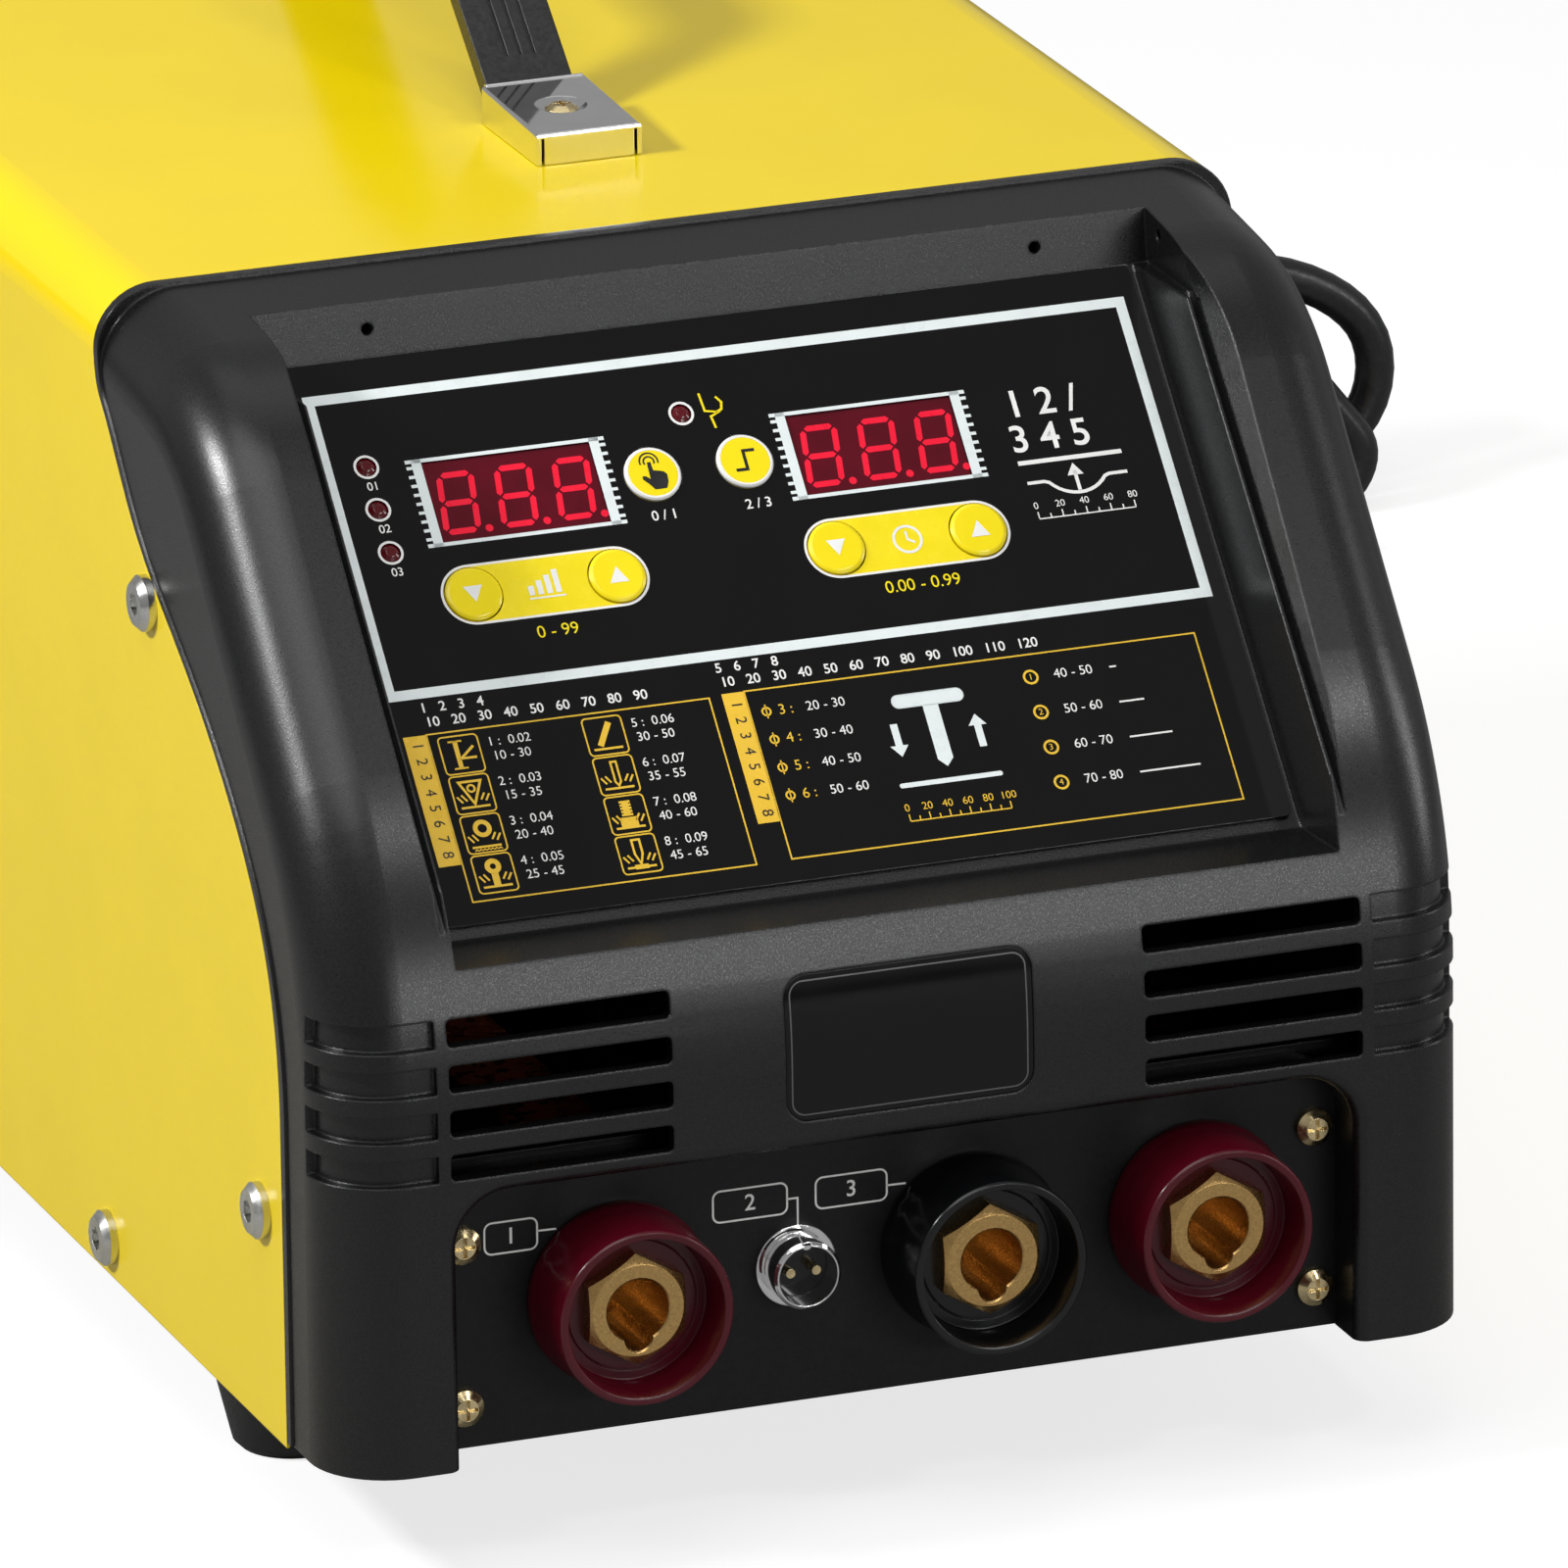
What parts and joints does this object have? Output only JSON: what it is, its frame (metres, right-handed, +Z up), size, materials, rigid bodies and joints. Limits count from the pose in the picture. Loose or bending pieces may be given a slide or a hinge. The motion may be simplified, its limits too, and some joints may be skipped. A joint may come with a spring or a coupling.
{
  "type": "dent pulling spot welder",
  "caption": "Portable pulse welder case with a sloping control panel, twist-lock power sockets, a control socket, a carrying strap, rubber feet, a fan and the working parts inside.",
  "frame": {"origin": "middle of the machine's bounding box at its feet's undersides", "axes": "+Z up, -Y the way the control panel faces, +X to the right of someone who faces the panel"},
  "size_m": [0.4905, 0.6544, 0.2882],
  "materials": {
    "yellow_paint": "glossy powder coat",
    "black_plastic": "fine textured moulding",
    "black_paint": "satin",
    "black_gloss": "gloss printed film",
    "yellow_key": "gloss",
    "red_display": "gloss",
    "red_lamp": "gloss",
    "dark_red_plastic": "satin gloss",
    "black_socket": "satin gloss",
    "brass": "machined",
    "chrome": "polished",
    "zinc_steel": "passivated zinc",
    "steel": "plain",
    "rubber": "matt",
    "strap_plastic": "satin",
    "board": "solder resist",
    "switch_plastic": "satin",
    "lamination": "varnished",
    "copper": "bare copper",
    "aluminium": "extruded",
    "can_sleeve": "shrink sleeve",
    "module_plastic": "satin",
    "cord_jacket": "satin"
  },
  "bodies": {
    "case": {"top_cover": "yellow_paint", "front_fascia": "black_plastic", "control_membrane": "black_gloss", "segment_displays": "red_display", "indicator_lamps": "red_lamp", "control_board": "board", "key_switches": "switch_plastic", "board_standoffs": "steel", "board_screws": "zinc_steel", "nameplate": "black_gloss", "connector_panel": "black_paint", "connector_panel_screws": "zinc_steel", "left_socket_housing": "dark_red_plastic", "left_socket_insert": "brass", "middle_socket_housing": "black_socket", "middle_socket_insert": "brass", "right_socket_housing": "dark_red_plastic", "right_socket_insert": "brass", "socket_clamp_rings": "black_socket", "socket_nuts": "brass", "control_socket_shell": "chrome", "control_socket_core": "black_socket", "control_socket_pins": "zinc_steel", "chassis_pan": "black_paint", "rubber_feet": "rubber", "foot_screws": "zinc_steel", "rear_panel": "black_paint", "cover_screws": "steel", "handle_strap": "strap_plastic", "handle_strip": "steel", "handle_caps": "chrome", "handle_screws": "zinc_steel", "fan_frame": "module_plastic", "fan_guard": "chrome", "fan_screws": "zinc_steel", "power_switch_body": "switch_plastic", "fuse_holder": "switch_plastic", "cord_gland": "switch_plastic", "transformer_core": "lamination", "primary_winding": "copper", "secondary_winding": "copper", "transformer_brackets": "steel", "capacitors": "can_sleeve", "capacitor_board": "board", "capacitor_clamp": "steel", "heat_sink": "aluminium", "thyristor_modules": "module_plastic", "socket_busbars": "copper", "mains_cord": "cord_jacket", "mains_cord_hank": "cord_jacket", "mains_plug": "cord_jacket", "plug_pins": "chrome"},
    "fan": {"fan_rotor": "module_plastic"},
    "rocker": {"power_switch_rocker": "switch_plastic"},
    "auto_manual_key_cap": {"auto_manual_key": "yellow_key"},
    "mode_key_cap": {"mode_key": "yellow_key"},
    "power_down_key_cap": {"power_down_key": "yellow_key"},
    "power_up_key_cap": {"power_up_key": "yellow_key"},
    "time_down_key_cap": {"time_down_key": "yellow_key"},
    "time_up_key_cap": {"time_up_key": "yellow_key"}
  },
  "joints": [
    {"name": "auto_manual_key_press", "type": "slide", "parent": "case", "child": "auto_manual_key_cap", "axis": [0, 0.7181, -0.6959], "range_m": [0, 0.0005], "stiffness_N_per_m": 400},
    {"name": "mode_key_press", "type": "slide", "parent": "case", "child": "mode_key_cap", "axis": [0, 0.7181, -0.6959], "range_m": [0, 0.0005], "stiffness_N_per_m": 400},
    {"name": "power_down_key_press", "type": "slide", "parent": "case", "child": "power_down_key_cap", "axis": [0, 0.7181, -0.6959], "range_m": [0, 0.0005], "stiffness_N_per_m": 400},
    {"name": "power_up_key_press", "type": "slide", "parent": "case", "child": "power_up_key_cap", "axis": [0, 0.7181, -0.6959], "range_m": [0, 0.0005], "stiffness_N_per_m": 400},
    {"name": "time_down_key_press", "type": "slide", "parent": "case", "child": "time_down_key_cap", "axis": [0, 0.7181, -0.6959], "range_m": [0, 0.0005], "stiffness_N_per_m": 400},
    {"name": "time_up_key_press", "type": "slide", "parent": "case", "child": "time_up_key_cap", "axis": [0, 0.7181, -0.6959], "range_m": [0, 0.0005], "stiffness_N_per_m": 400},
    {"name": "fan_spin", "type": "hinge", "parent": "case", "child": "fan", "pos_m": [-0.048, 0.1813, 0.15], "axis": [0, 1, 0], "continuous": true},
    {"name": "rocker_tilt", "type": "hinge", "parent": "case", "child": "rocker", "pos_m": [0.07, 0.204, 0.195], "axis": [1, 0, 0], "range_deg": [0, 18]}
  ]
}
